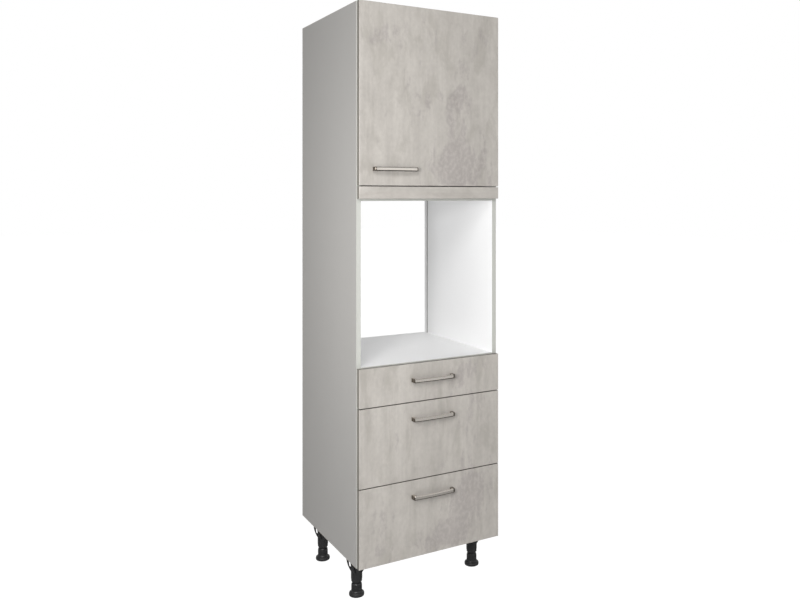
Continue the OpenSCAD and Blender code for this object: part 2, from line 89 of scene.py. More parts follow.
def add_node(tree, kind, inputs=None, **settings):
    """Adds a node. inputs maps a socket's name or number to a value or to another node's output."""
    made = tree.nodes.new(kind)
    for name, value in settings.items():
        setattr(made, name, value)
    for name, value in (inputs or {}).items():
        if isinstance(value, bpy.types.Node):
            value = next(out for out in value.outputs if out.enabled)
        if isinstance(value, bpy.types.NodeSocket):
            tree.links.new(value, made.inputs[name])
        else:
            made.inputs[name].default_value = value
    return made


def new_finish(name):
    """An empty material: the material, its tree, its shader and the place on the piece."""
    finish = bpy.data.materials.new(name)
    finish.use_nodes = True
    tree = finish.node_tree
    place = add_node(tree, "ShaderNodeTexCoord").outputs["Object"]
    return finish, tree, tree.nodes["Principled BSDF"], place


def fine_texture(tree, shader, place, marks_per_metre, detail, strength, depth):
    """A fine even relief, such as the pearl of a coat; depth is in metres."""
    height = add_node(tree, "ShaderNodeTexNoise", {"Vector": place, "Scale": marks_per_metre, "Detail": detail})
    relief = add_node(tree, "ShaderNodeBump", {"Height": height.outputs["Fac"], "Strength": strength,
                                               "Distance": depth})
    tree.links.new(relief.outputs[0], shader.inputs["Normal"])


def put_on(finish, names):
    """Gives a finish to measured parts by name."""
    for name in names:
        slots = nodes[name].data.materials
        if len(slots) == 0:
            slots.append(finish)
        for i in range(len(slots)):
            slots[i] = finish
    print(f"{finish.name}: {len(names)} parts")


drawers = (1, 2, 3)
corners = [f"{end}_{side}" for end in ("front", "rear") for side in ("left", "right")]

# %% [markdown]
# ## The fronts: melamine board with a concrete decor
# The door, the filler and the drawer fronts are chipboard pressed with a printed paper. The print shows
# trowelled concrete: a warm light grey with soft clouds, fine upright smears of the trowel, dull smudges, and a
# few darker patches with ragged outlines. A photograph of the print would be simplest, but here every layer is
# a noise whose size is given in millimetres. The layers are added up to one tone between a dark and a light
# grey, which keeps the contrast in hand: each counts by its weight, and the mean of the sum stays at a half.

# %% Tone of the concrete decor
concrete, tree, shader, place = new_finish("melamine_concrete_decor")
print_place = add_node(tree, "ShaderNodeMapping", {"Vector": place}, name="print_place")
# each layer: width and height of its marks in mm, detail, distortion, and its weight
layers = {"clouds": (250, 330, 3, 0.2, 0.45), "blotches": (50, 80, 5, 0.2, 0.60),
          "broad_smears": (70, 700, 3, 0.1, 0.60), "fine_smears": (16, 260, 4, 0.1, 0.44),
          "mottle": (13, 17, 4, 0.0, 0.46)}
# the layers are read at places of their own, so that their marks don't fall on each other
STEP_X, STEP_Z = 3.7, 1.9
fields = {}
tone = 0.5 - sum(layer[-1] for layer in layers.values()) / 2
for name, (wide, high, detail, distortion, weight) in layers.items():
    space = add_node(tree, "ShaderNodeMapping", {
        "Vector": print_place, "Location": (len(fields) * STEP_X, 0.0, len(fields) * STEP_Z),
        "Scale": (1000 / wide, 0.0, 1000 / high)})
    fields[name] = add_node(tree, "ShaderNodeTexNoise", {
        "Vector": space, "Scale": 1.0, "Detail": detail, "Roughness": 0.55, "Distortion": distortion})
    tone = add_node(tree, "ShaderNodeMath", {0: fields[name], 1: weight, 2: tone}, operation="MULTIPLY_ADD")
print("layers of the print:", ", ".join(layers))

# %% [markdown]
# The dull smudges lie everywhere, so a noise with a soft threshold makes them. The dark patches are large and
# few, and where they lie decides how the door looks. A noise would put them anywhere, so each is listed as
# a soft oval. Added up with a noise of upright flakes, the ovals lose their outline and break up into marks.

# %% Smudges and patches
# smudges about 70 mm wide and 200 mm high, with feathered outlines
space = add_node(tree, "ShaderNodeMapping", {"Vector": print_place, "Location": (5.3, 0.0, 8.1),
                                             "Scale": (14.0, 0.0, 5.0)})
smudges = add_node(tree, "ShaderNodeTexNoise", {"Vector": space, "Scale": 1.0, "Detail": 7.0, "Roughness": 0.64,
                                                "Distortion": 0.5})
smudge_mask = add_node(tree, "ShaderNodeMapRange", {"Value": smudges, "From Min": 0.48, "From Max": 0.66},
                       interpolation_type="SMOOTHSTEP")
# flakes 30 mm wide and 80 mm high
space = add_node(tree, "ShaderNodeMapping", {"Vector": print_place, "Scale": (32.0, 0.0, 12.0)})
flakes = add_node(tree, "ShaderNodeTexNoise", {"Vector": space, "Scale": 1.0, "Detail": 6.0, "Roughness": 0.66,
                                               "Distortion": 0.3})
# each patch: its middle in X and Z and its half width and half height, all in metres, and its strength
patches = [(0.11, 1.70, 0.05, 0.14, 1.0), (0.04, 1.60, 0.09, 0.07, 0.8), (0.12, 1.86, 0.06, 0.04, 0.9),
           (0.14, 1.59, 0.09, 0.08, 0.8), (0.13, 1.97, 0.03, 0.08, 0.6), (0.24, 1.66, 0.07, 0.11, 0.45),
           (-0.02, 1.84, 0.06, 0.05, 0.5), (-0.20, 2.08, 0.08, 0.05, 0.8), (-0.11, 1.94, 0.03, 0.07, 0.4),
           (0.21, 2.08, 0.05, 0.09, 0.5), (-0.01, 2.05, 0.04, 0.10, 0.4), (-0.10, 1.79, 0.05, 0.08, 0.35),
           # the next row's first two patches darken the upper drawer's front to the right of its handle
           (0.12, 0.80, 0.06, 0.05, 0.8), (0.20, 0.83, 0.08, 0.04, 0.5), (0.16, 0.62, 0.05, 0.10, 0.6),
           (-0.16, 0.57, 0.03, 0.04, 0.6), (0.25, 0.69, 0.04, 0.06, 0.5), (0.10, 0.47, 0.11, 0.03, 0.4),
           (0.14, 0.30, 0.09, 0.10, 1.1), (0.04, 0.20, 0.11, 0.05, 1.0), (0.20, 0.38, 0.08, 0.05, 0.9),
           (-0.20, 0.30, 0.05, 0.08, 0.6), (-0.22, 0.19, 0.05, 0.03, 0.5)]
# an oval fades to nothing at its rim, so it is drawn wider than the patch looks
FADE = 1.6
# the flakes' weight, and a start that takes their mean out again, so that the sum is about 0 between patches
FLAKE_WEIGHT = 3.2
patch_tone = -1.66
for x, z, half_wide, half_high, strength in patches:
    wide, high = FADE * half_wide, FADE * half_high
    space = add_node(tree, "ShaderNodeMapping", {"Vector": print_place, "Location": (-x / wide, 0.0, -z / high),
                                                 "Scale": (1 / wide, 0.0, 1 / high)})
    oval = add_node(tree, "ShaderNodeTexGradient", {"Vector": space}, gradient_type="SPHERICAL").outputs["Fac"]
    patch_tone = add_node(tree, "ShaderNodeMath", {0: oval, 1: strength, 2: patch_tone}, operation="MULTIPLY_ADD")
ragged = add_node(tree, "ShaderNodeMath", {0: flakes, 1: FLAKE_WEIGHT, 2: patch_tone}, operation="MULTIPLY_ADD")
patch_mask = add_node(tree, "ShaderNodeMapRange", {"Value": ragged, "From Min": 0.25, "From Max": 0.75},
                      interpolation_type="SMOOTHSTEP")
# inside the patches the mottle shows as lighter grains
grain_tone = add_node(tree, "ShaderNodeMapRange", {"Value": fields["mottle"], "From Min": 0.46, "From Max": 0.62})
grains = add_node(tree, "ShaderNodeMath", {0: patch_mask, 1: grain_tone}, operation="MULTIPLY")
print(len(patches), "patches set by hand")

# %% [markdown]
# Each mask now lays a colour over the ground, and only in part, so that what lies below still shows. The edges
# of a front are a darker grey than the print: partly a plain band of plastic, and partly painted shade of the
# narrow gaps between the fronts. They are found by the way the surface looks, because only the face and the back
# of a front look along Y.

# %% The decor's colours, layer over layer
SMUDGE_SHARE, PATCH_SHARE, GRAIN_SHARE = 0.45, 0.45, 0.30
# a surface that looks along Y by less than this is an edge
EDGE_LIMIT = 0.35
ground = add_node(tree, MIX, {"Factor": tone, 6: linear("#a49f99"), 7: linear("#cfcac3")}, data_type="RGBA")
share = add_node(tree, "ShaderNodeMath", {0: smudge_mask, 1: SMUDGE_SHARE}, operation="MULTIPLY")
smudged = add_node(tree, MIX, {"Factor": share, 6: ground, 7: linear("#a09b93")}, data_type="RGBA")
share = add_node(tree, "ShaderNodeMath", {0: patch_mask, 1: PATCH_SHARE}, operation="MULTIPLY")
patched = add_node(tree, MIX, {"Factor": share, 6: smudged, 7: linear("#978f8e")}, data_type="RGBA")
share = add_node(tree, "ShaderNodeMath", {0: grains, 1: GRAIN_SHARE}, operation="MULTIPLY")
printed = add_node(tree, MIX, {"Factor": share, 6: patched, 7: linear("#c6c1bb")}, data_type="RGBA")
facing = add_node(tree, "ShaderNodeSeparateXYZ", {0: tree.nodes["Texture Coordinate"].outputs["Normal"]})
along_y = add_node(tree, "ShaderNodeMath", {0: facing.outputs["Y"]}, operation="ABSOLUTE")
is_edge = add_node(tree, "ShaderNodeMath", {0: along_y, 1: EDGE_LIMIT}, operation="LESS_THAN")
# the edges' darker grey is partly the plastic band and partly painted shade of the gaps between the fronts
coloured = add_node(tree, MIX, {"Factor": is_edge, 6: printed, 7: linear("#7a766f")}, data_type="RGBA")
tree.links.new(coloured.outputs[2], shader.inputs["Base Color"])
shader.inputs["Roughness"].default_value = 0.5
# the press plate leaves a fine emboss of about 1.5 mm, drawn at 2 mm so that it shows
fine_texture(tree, shader, place, marks_per_metre=500.0, detail=2.0, strength=0.08, depth=0.5 * MM)
put_on(concrete, ["door_panel"] + [f"drawer_{n}_front" for n in drawers])

# %% [markdown]
# The filler is a narrow strip, cut across the board, so its print lies on its side. A copy of the finish, in which
# the mapping that places the print is turned by a right angle, gives that.

# %% The filler's print
concrete_across = concrete.copy()
concrete_across.name = "melamine_concrete_decor_across"
concrete_across.node_tree.nodes["print_place"].inputs["Rotation"].default_value = (0.0, math.radians(90), 0.0)
put_on(concrete_across, ["filler_panel"])

# %% [markdown]
# ## The carcass: coated chipboard
# The side panels are grey outside and white inside. Their front edges carry a lighter grey band, and the edges
# that nobody sees, at the top, the bottom and the rear, are bare chipboard. One material reads where it is on
# the panel and chooses among them, which keeps the panel in one piece, as it is cut in the factory.

# %% Side panels, grey outside and white inside
WHITE, GREY, BAND = linear("#f8f8f8"), linear("#a4a29f"), linear("#c6c7c1")
panel_low, panel_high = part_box("side_right")
# how deep below a face its coat counts
COAT = 0.2 * MM


def chipboard_colour(tree, place):
    """Bare chipboard: flakes of 1 to 3 mm in tan tones."""
    flakes = add_node(tree, "ShaderNodeTexVoronoi", {"Vector": place, "Scale": 450.0}).outputs["Color"]
    tone = add_node(tree, "ShaderNodeMapRange", {"Value": flakes, "From Min": 0.2, "From Max": 0.8})
    return add_node(tree, MIX, {"Factor": tone, 6: linear("#a98d66"), 7: linear("#d9c29c")}, data_type="RGBA")


side_finish, tree, shader, place = new_finish("melamine_grey_and_white")
axes = add_node(tree, "ShaderNodeSeparateXYZ", {0: place}).outputs
across = add_node(tree, "ShaderNodeMath", {0: axes["X"]}, operation="ABSOLUTE")
inside = add_node(tree, "ShaderNodeMath", {0: across, 1: panel_low.x + COAT}, operation="LESS_THAN")
in_front = add_node(tree, "ShaderNodeMath", {0: axes["Y"], 1: panel_low.y + COAT}, operation="LESS_THAN")
behind = add_node(tree, "ShaderNodeMath", {0: axes["Y"], 1: panel_high.y - COAT}, operation="GREATER_THAN")
under = add_node(tree, "ShaderNodeMath", {0: axes["Z"], 1: panel_low.z + COAT}, operation="LESS_THAN")
over = add_node(tree, "ShaderNodeMath", {0: axes["Z"], 1: panel_high.z - COAT}, operation="GREATER_THAN")
ends = add_node(tree, "ShaderNodeMath", {0: over, 1: under}, operation="MAXIMUM")
bare = add_node(tree, "ShaderNodeMath", {0: ends, 1: behind}, operation="MAXIMUM")
coated = add_node(tree, MIX, {"Factor": inside, 6: GREY, 7: WHITE}, data_type="RGBA")
banded = add_node(tree, MIX, {"Factor": in_front, 6: coated, 7: BAND}, data_type="RGBA")
panel_colour = add_node(tree, MIX, {"Factor": bare, 6: banded, 7: chipboard_colour(tree, place)},
                        data_type="RGBA")
tree.links.new(panel_colour.outputs[2], shader.inputs["Base Color"])
shader.inputs["Roughness"].default_value = 0.5
# a pearl of about 1.4 mm, as on most melamine
fine_texture(tree, shader, place, marks_per_metre=700.0, detail=1.0, strength=0.05, depth=0.4 * MM)
put_on(side_finish, ["side_left", "side_right"])

# %% [markdown]
# The level panels, the backs, the wall rail and the shelf are white on both sides. The level panels reach the
# front and the rear of the carcass, where they carry the same grey band as the side panels and are bare like them.
# The same rule leaves the back of the wall rail bare. Ends are hidden, so the finish leaves them white.

# %% White panels
white_board, tree, shader, place = new_finish("melamine_white")
axes = add_node(tree, "ShaderNodeSeparateXYZ", {0: place}).outputs
in_front = add_node(tree, "ShaderNodeMath", {0: axes["Y"], 1: panel_low.y + COAT}, operation="LESS_THAN")
behind = add_node(tree, "ShaderNodeMath", {0: axes["Y"], 1: panel_high.y - COAT}, operation="GREATER_THAN")
banded = add_node(tree, MIX, {"Factor": in_front, 6: WHITE, 7: BAND}, data_type="RGBA")
panel_colour = add_node(tree, MIX, {"Factor": behind, 6: banded, 7: chipboard_colour(tree, place)},
                        data_type="RGBA")
tree.links.new(panel_colour.outputs[2], shader.inputs["Base Color"])
shader.inputs["Roughness"].default_value = 0.45
fine_texture(tree, shader, place, marks_per_metre=700.0, detail=1.0, strength=0.05, depth=0.4 * MM)
put_on(white_board, ["top_panel", "bottom_panel", "niche_floor", "niche_ceiling", "back_upper", "back_lower",
                     "wall_rail", "upper_shelf"])

# %% [markdown]
# ## The handles
# The handles are cast in zinc alloy and nickel plated, with fine brush marks along the bar. Their colour is
# painted
# light and shade: the front and the upper bevel are painted pale, as lit, while the underside, the sides and the
# last millimetres of the ends are painted a dark grey as shade and dark reflection, which gives the bar a dark
# line below. The lit faces are found by the way the surface looks, and the shaded ends by the distance from the
# handle's middle.

# %% Where the handle's colour is painted lit and where it is painted shade
handle_metal, tree, shader, place = new_finish("nickel_painted_shade")
facing = add_node(tree, "ShaderNodeSeparateXYZ", {0: tree.nodes["Texture Coordinate"].outputs["Normal"]}).outputs
# a face is painted lit the more it looks forwards and up, and painted shade the more it looks sideways or down
upwards = add_node(tree, "ShaderNodeMath", {0: facing["Z"], 1: 0.9}, operation="MULTIPLY")
forwards = add_node(tree, "ShaderNodeMath", {0: upwards, 1: facing["Y"]}, operation="SUBTRACT")
sideways = add_node(tree, "ShaderNodeMath", {0: facing["X"]}, operation="ABSOLUTE")
facing_light = add_node(tree, "ShaderNodeMath", {0: sideways, 1: -1.2, 2: forwards}, operation="MULTIPLY_ADD")
lit_by_facing = add_node(tree, "ShaderNodeMapRange", {"Value": facing_light, "From Min": 0.55, "From Max": 0.92})
# the painted shade at the ends starts 8 mm before an end and is full 3 mm before it; on the drawers it sits 4 mm
# further to the left
END_SHADE_START, END_SHADE_FULL, SHIFT = 8 * MM, 3 * MM, 4 * MM
low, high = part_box("drawer_1_handle")
bar_end = (high.x - low.x) / 2
along_bar = add_node(tree, "ShaderNodeMapping", {"Vector": place, "Location": (SHIFT, 0.0, 0.0)}, name="along_bar")
from_middle = add_node(tree, "ShaderNodeSeparateXYZ", {0: along_bar}).outputs
off_middle = add_node(tree, "ShaderNodeMath", {0: from_middle["X"]}, operation="ABSOLUTE")
lit_along_bar = add_node(tree, "ShaderNodeMapRange", {"Value": off_middle, "From Min": bar_end - END_SHADE_START,
                                               "From Max": bar_end - END_SHADE_FULL, "To Min": 1.0, "To Max": 0.0})
painted_lit_mask = add_node(tree, "ShaderNodeMath", {0: lit_by_facing, 1: lit_along_bar}, operation="MULTIPLY")
print(f"handle {2 * bar_end / MM:.0f} mm long")

# %% Nickel, pale where it is painted lit and dark where it is painted shade
# brush marks along the bar, 30 mm long and 0.7 mm apart
space = add_node(tree, "ShaderNodeMapping", {"Vector": place, "Scale": (30.0, 1400.0, 1400.0)})
marks = add_node(tree, "ShaderNodeTexNoise", {"Vector": space, "Scale": 1.0, "Detail": 2.0}).outputs["Fac"]
# the dark colour is painted shade and dark reflection, the pale one the lit nickel
colour = add_node(tree, MIX, {"Factor": painted_lit_mask, 6: linear("#736c64"), 7: linear("#dcd6ce")}, data_type="RGBA")
tree.links.new(colour.outputs[2], shader.inputs["Base Color"])
shader.inputs["Metallic"].default_value = 1.0
rough = add_node(tree, "ShaderNodeMapRange", {"Value": marks, "To Min": 0.14, "To Max": 0.26})
tree.links.new(rough.outputs[0], shader.inputs["Roughness"])
relief = add_node(tree, "ShaderNodeBump", {"Height": marks, "Strength": 0.15, "Distance": 0.2 * MM})
tree.links.new(relief.outputs[0], shader.inputs["Normal"])
put_on(handle_metal, [f"drawer_{n}_handle" for n in drawers])
# the door's handle sits elsewhere along X, so its copy of the finish, with the painted shade at the ends, is
# centred on it
low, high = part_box("door_handle")
door_handle_metal = handle_metal.copy()
door_handle_metal.name = "nickel_painted_shade_door"
door_along_bar = door_handle_metal.node_tree.nodes["along_bar"]
door_along_bar.inputs["Location"].default_value = (-(low.x + high.x) / 2, 0.0, 0.0)
put_on(door_handle_metal, ["door_handle"])

# %% [markdown]
# ## Steel: zinc plate and powder coat
# The hinges, the runners and the brackets are pressed from steel and zinc plated. Zinc sets in crystals that
# differ in gloss, and this makes it look like zinc instead of like chrome. The drawer sides are rolled steel
# with a white powder coat, which melts to a smooth skin with a little orange peel.

# %% Hinges, runners, brackets and drawer sides
zinc, tree, shader, place = new_finish("steel_zinc_plated")
shader.inputs["Metallic"].default_value = 1.0
shader.inputs["Base Color"].default_value = linear("#c6c8ca")
# crystals 6 mm across
spangle = add_node(tree, "ShaderNodeTexVoronoi", {"Vector": place, "Scale": 160.0}).outputs["Color"]
rough = add_node(tree, "ShaderNodeMapRange", {"Value": spangle, "To Min": 0.34, "To Max": 0.50})
tree.links.new(rough.outputs[0], shader.inputs["Roughness"])
put_on(zinc, ["filler_brackets", "shelf_pins", "hinge_plates", "hinge_arms", "hinge_cups", "hinge_outer_links",
              "hinge_inner_links", "drawer_2_rods", "drawer_3_rods"]
       + [f"drawer_{n}_{part}" for n in drawers
          for part in ("brackets", "runner_cabinet", "runner_middle", "runner_drawer")])

powder, tree, shader, place = new_finish("steel_white_powder_coat")
shader.inputs["Base Color"].default_value = linear("#e6e6e4")
shader.inputs["Roughness"].default_value = 0.38
# orange peel of 3 mm
fine_texture(tree, shader, place, marks_per_metre=320.0, detail=1.0, strength=0.08, depth=0.5 * MM)
put_on(powder, [f"drawer_{n}_sides" for n in drawers])

# %% [markdown]
# ## Drawer boards, plastic and beech
# The bases and the backs of the drawers are thin white chipboard too, cut without bands, so they take a plain
# white coat. The legs are moulded in black ABS from a tool with a fine spark texture, which spreads the light
# and turns the black a little grey. The door's bumpers are domes of soft clear plastic, and the dowels are
# plain beech.

# %% Drawer boards and legs
drawer_board, tree, shader, place = new_finish("melamine_white_drawer")
shader.inputs["Base Color"].default_value = linear("#ededec")
shader.inputs["Roughness"].default_value = 0.45
fine_texture(tree, shader, place, marks_per_metre=700.0, detail=1.0, strength=0.05, depth=0.4 * MM)
put_on(drawer_board, [f"drawer_{n}_{part}" for n in drawers for part in ("base", "back")])

leg_plastic, tree, shader, place = new_finish("abs_black_moulded")
shader.inputs["Base Color"].default_value = linear("#232324")
shader.inputs["Roughness"].default_value = 0.42
# a spark texture of about 1 mm, coarser than the real one so that it shows
fine_texture(tree, shader, place, marks_per_metre=900.0, detail=2.0, strength=0.12, depth=0.4 * MM)
put_on(leg_plastic, [f"leg_mount_{corner}" for corner in corners] + [f"foot_{corner}" for corner in corners])

# %% Bumpers and dowels
soft_plastic, tree, shader, place = new_finish("polyurethane_clear")
shader.inputs["Base Color"].default_value = linear("#dcdcda")
shader.inputs["Roughness"].default_value = 0.3
shader.inputs["Transmission Weight"].default_value = 0.5
# cast in open moulds, which leaves the domes a little uneven
fine_texture(tree, shader, place, marks_per_metre=400.0, detail=1.0, strength=0.1, depth=0.3 * MM)
put_on(soft_plastic, ["door_bumpers"])

beech, tree, shader, place = new_finish("beech_plain")
# grain 17 mm long and 1 mm wide
space = add_node(tree, "ShaderNodeMapping", {"Vector": place, "Scale": (60.0, 900.0, 900.0)})
grain = add_node(tree, "ShaderNodeTexNoise", {"Vector": space, "Scale": 1.0, "Detail": 3.0}).outputs["Fac"]
wood = add_node(tree, MIX, {"Factor": grain, 6: linear("#b98f62"), 7: linear("#dcb88b")}, data_type="RGBA")
tree.links.new(wood.outputs[2], shader.inputs["Base Color"])
shader.inputs["Roughness"].default_value = 0.6
put_on(beech, ["dowels"])

# %% [markdown]
# ## Screws
# Screws with a cross recess hold the handles, the hinges, the runners, the brackets and the leg sockets. Seventy
# are needed, all of one shape in five sizes. They could be copied by hand, but Geometry Nodes make them from a
# list of points: each point says which way its head faces and how wide it is. The tree cuts the cross out of a
# low cone once, puts an instance on each point and turns it by a seeded random angle, because no fitter stops
# every screw at the same angle. The seats under the heads, the holes of the runners and the shanks of the
# handles' screws are already in the measured parts.

# %% A Geometry Nodes tree for screw heads
screws = bpy.data.node_groups.new("cross_recess_screws", "GeometryNodeTree")
sockets = {}
for name, kind in (("Points", "Geometry"), ("Head height", "Float"), ("Recess width", "Float"), ("Seed", "Int"),
                   ("Finish", "Material")):
    sockets[name] = screws.interface.new_socket(name, in_out="INPUT", socket_type="NodeSocket" + kind).identifier
screws.interface.new_socket("Geometry", in_out="OUTPUT", socket_type="NodeSocketGeometry")
given = add_node(screws, "NodeGroupInput").outputs
# the head is drawn with a radius of 1 and its underside at the origin, and the cross in the same measure
TOP_RADIUS, CROSS_LENGTH, CROSS_DEPTH = 0.66, 1.15, 0.5
head = add_node(screws, "GeometryNodeMeshCone", {
    "Vertices": 28, "Radius Top": TOP_RADIUS, "Radius Bottom": 1.0, "Depth": given["Head height"]}).outputs["Mesh"]
top = add_node(screws, "ShaderNodeCombineXYZ", {"Z": given["Head height"]})
long_way = add_node(screws, "ShaderNodeCombineXYZ", {"X": CROSS_LENGTH, "Y": given["Recess width"],
                                                     "Z": CROSS_DEPTH})
cross_way = add_node(screws, "ShaderNodeCombineXYZ", {"X": given["Recess width"], "Y": CROSS_LENGTH,
                                                      "Z": CROSS_DEPTH})
cut = add_node(screws, "GeometryNodeMeshBoolean", {0: head}, operation="DIFFERENCE")
for size in (long_way, cross_way):
    bar = add_node(screws, "GeometryNodeMeshCube", {"Size": size}).outputs["Mesh"]
    raised = add_node(screws, "GeometryNodeTransform", {"Geometry": bar, "Translation": top})
    screws.links.new(raised.outputs[0], cut.inputs[1])
points = add_node(screws, "GeometryNodeMeshToPoints", {"Mesh": given["Points"]})
facing = add_node(screws, "GeometryNodeInputNamedAttribute", {"Name": "facing"}, data_type="FLOAT_VECTOR")
radius = add_node(screws, "GeometryNodeInputNamedAttribute", {"Name": "head_radius"}, data_type="FLOAT")
aimed = add_node(screws, "FunctionNodeAlignRotationToVector", {"Vector": facing}, axis="Z")
angle = add_node(screws, "FunctionNodeRandomValue", {2: 0.0, 3: math.pi / 2, "Seed": given["Seed"]},
                 data_type="FLOAT").outputs[1]
spin = add_node(screws, "FunctionNodeAxisAngleToRotation", {"Axis": (0, 0, 1), "Angle": angle})
turned = add_node(screws, "FunctionNodeRotateRotation", {0: aimed, 1: spin}, rotation_space="LOCAL")
placed = add_node(screws, "GeometryNodeInstanceOnPoints", {"Points": points, "Instance": cut, "Rotation": turned,
                                                           "Scale": radius})
real = add_node(screws, "GeometryNodeRealizeInstances", {0: placed})
finished = add_node(screws, "GeometryNodeSetMaterial", {"Geometry": real, "Material": given["Finish"]})
screws.links.new(finished.outputs[0], add_node(screws, "NodeGroupOutput").inputs[0])
print("screw tree with inputs", ", ".join(sockets))

# %% [markdown]
# The places of the screws are read from the boxes of the measured parts, so they follow when the cabinet
# changes. What a box doesn't say, such as how far a screw sits from its part's edge, is given in millimetres.

# %% Screws of the hinges and the handles
LEFT, RIGHT, BACK, UP, DOWN = (-1, 0, 0), (1, 0, 0), (0, 1, 0), (0, 0, 1), (0, 0, -1)
# radius of the head in mm
PLATE_SCREW, CUP_SCREW, HANDLE_SCREW, CHIPBOARD_SCREW, LEG_SCREW = 3.7, 3.3, 3.9, 3.4, 4.2
screw_rows = []


def add_screw(body, x, y, z, way, radius):
    """Notes a screw: its body, its place in metres, the way its head faces and its head's radius in mm."""
    screw_rows.append((body, (x, y, z), way, radius))


inner_x, carcass_front = panel_low.x, panel_low.y
# each screw of a hinge: its body, how far it sits from the side panel's inner face, behind the carcass's front and
# above the hinge's middle in mm, the way its head faces and its radius; the last one clamps the arm on its plate
hinge_screws = [("carcass", 3.4, 37, -20, LEFT, PLATE_SCREW), ("door", 16.5, 0.4, -24, BACK, CUP_SCREW),
                ("carcass", 3.4, 37, 20, LEFT, PLATE_SCREW), ("door", 16.5, 0.4, 24, BACK, CUP_SCREW),
                ("carcass", 17.4, 56, 0, LEFT, CUP_SCREW)]
plates_low, plates_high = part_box("hinge_plates")
HALF_PLATE = 26 * MM
for z in (plates_low.z + HALF_PLATE, plates_high.z - HALF_PLATE):
    for body, inwards, behind_front, above, way, radius in hinge_screws:
        add_screw(body, inner_x - inwards * MM, carcass_front + behind_front * MM, z + above * MM, way, radius)

HALF_PITCH = 80 * MM
for body in ["door"] + [f"drawer_{n}" for n in drawers]:
    low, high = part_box(f"{body}_handle")
    for side in (-1, 1):
        add_screw(body, (low.x + high.x) / 2 + side * HALF_PITCH, high.y, (low.z + high.z) / 2, BACK, HANDLE_SCREW)
print(len(screw_rows), "screws at the hinges and the handles")

# %% Screws of the runners, the brackets and the legs
# where the screws of a runner are: behind its front in mm, above its lower edge, inside the side panel
ALONG_RUNNER, RUNNER_LINE, RUNNER_WALL = (34, 66, 258, 450), 20 * MM, 1.5 * MM
for n in drawers:
    low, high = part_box(f"drawer_{n}_runner_cabinet")
    for along in ALONG_RUNNER:
        for side, way in ((-1, RIGHT), (1, LEFT)):
            add_screw("carcass", side * (inner_x - RUNNER_WALL), low.y + along * MM, low.z + RUNNER_LINE, way,
                      CHIPBOARD_SCREW)
# only the deep drawers' brackets are high enough for screws: below their top in mm, inside the side panel, and
# the bracket's thickness
BELOW_TOP, FROM_SIDE, BRACKET_WALL = (32, 72), 9.5 * MM, 3 * MM
for n in drawers[1:]:
    low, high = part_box(f"drawer_{n}_brackets")
    for side in (-1, 1):
        for drop in BELOW_TOP:
            add_screw(f"drawer_{n}", side * (inner_x - FROM_SIDE), low.y + BRACKET_WALL, high.z - drop * MM, BACK,
                      CHIPBOARD_SCREW)
# the sockets of the legs have a screw in each corner of their plate
HALF_BOSSES, BOSS_DROP = 32 * MM, 13 * MM
for corner in corners:
    low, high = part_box(f"leg_mount_{corner}")
    axis = (low + high) / 2
    for x_side in (-1, 1):
        for y_side in (-1, 1):
            add_screw("carcass", axis.x + x_side * HALF_BOSSES, axis.y + y_side * HALF_BOSSES, high.z - BOSS_DROP,
                      DOWN, LEG_SCREW)
# each bracket of the filler has a screw through either leg, one below its top and one before its rear end
BRACKET_X, FROM_TOP, FROM_END, LEG_WALL = 200 * MM, 12 * MM, 10 * MM, 2 * MM
low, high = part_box("filler_brackets")
for side in (-1, 1):
    add_screw("carcass", side * BRACKET_X, carcass_front, high.z - FROM_TOP, BACK, CHIPBOARD_SCREW)
    add_screw("carcass", side * BRACKET_X, high.y - FROM_END, low.z + LEG_WALL, UP, CHIPBOARD_SCREW)
bodies = sorted({row[0] for row in screw_rows})
print(len(screw_rows), "screws on", ", ".join(bodies))

# %% Make the screws, one mesh for each body
HEAD_SETTINGS = {"Head height": 0.34, "Recess width": 0.24, "Seed": 7, "Finish": zinc}
for body in bodies:
    rows = [row for row in screw_rows if row[0] == body]
    mesh = bpy.data.meshes.new(f"{body}_screw_points")
    mesh.from_pydata([row[1] for row in rows], [], [])
    facing = mesh.attributes.new("facing", "FLOAT_VECTOR", "POINT")
    facing.data.foreach_set("vector", [number for row in rows for number in row[2]])
    radius = mesh.attributes.new("head_radius", "FLOAT", "POINT")
    radius.data.foreach_set("value", [row[3] * MM for row in rows])
    carrier = bpy.data.objects.new(f"{body}_screw_points", mesh)
    bpy.context.scene.collection.objects.link(carrier)
    modifier = carrier.modifiers.new("screws", "NODES")
    modifier.node_group = screws
    for name, value in HEAD_SETTINGS.items():
        modifier[sockets[name]] = value
    evaluated = carrier.evaluated_get(bpy.context.evaluated_depsgraph_get())
    made = bpy.data.objects.new(f"{body}_screws", bpy.data.meshes.new_from_object(evaluated))
    bpy.data.objects.remove(carrier)
    bpy.context.scene.collection.objects.link(made)
    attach(made, body)
    print(made.name, len(rows), "screws,", len(made.data.polygons), "faces")

# %% [markdown]
# ## Floor and white surround
# The photograph is a cut-out on white. The floor is therefore white to the camera, and so is the world, by Is
# Camera Ray and not by more light. In a mirror of metal the floor is a grey that gets paler away from the cabinet,
# the world is white at the front right and high up behind the cabinet, and it is dim elsewhere, as a studio is,
# because metal that sees white everywhere looks like grey paint.

# %% Floor
WEST, EAST, NEAR, FAR = -20, 20, -12, 30
mesh = bpy.data.meshes.new("floor")
mesh.from_pydata([(WEST, NEAR, 0), (EAST, NEAR, 0), (EAST, FAR, 0), (WEST, FAR, 0)], [], [(0, 1, 2, 3)])
floor = bpy.data.objects.new("floor", mesh)
bpy.context.scene.collection.objects.link(floor)
floor_finish, tree, shader, place = new_finish("studio_floor")
shader.inputs["Base Color"].default_value = linear("#f2f2f2")
shader.inputs["Roughness"].default_value = 0.9
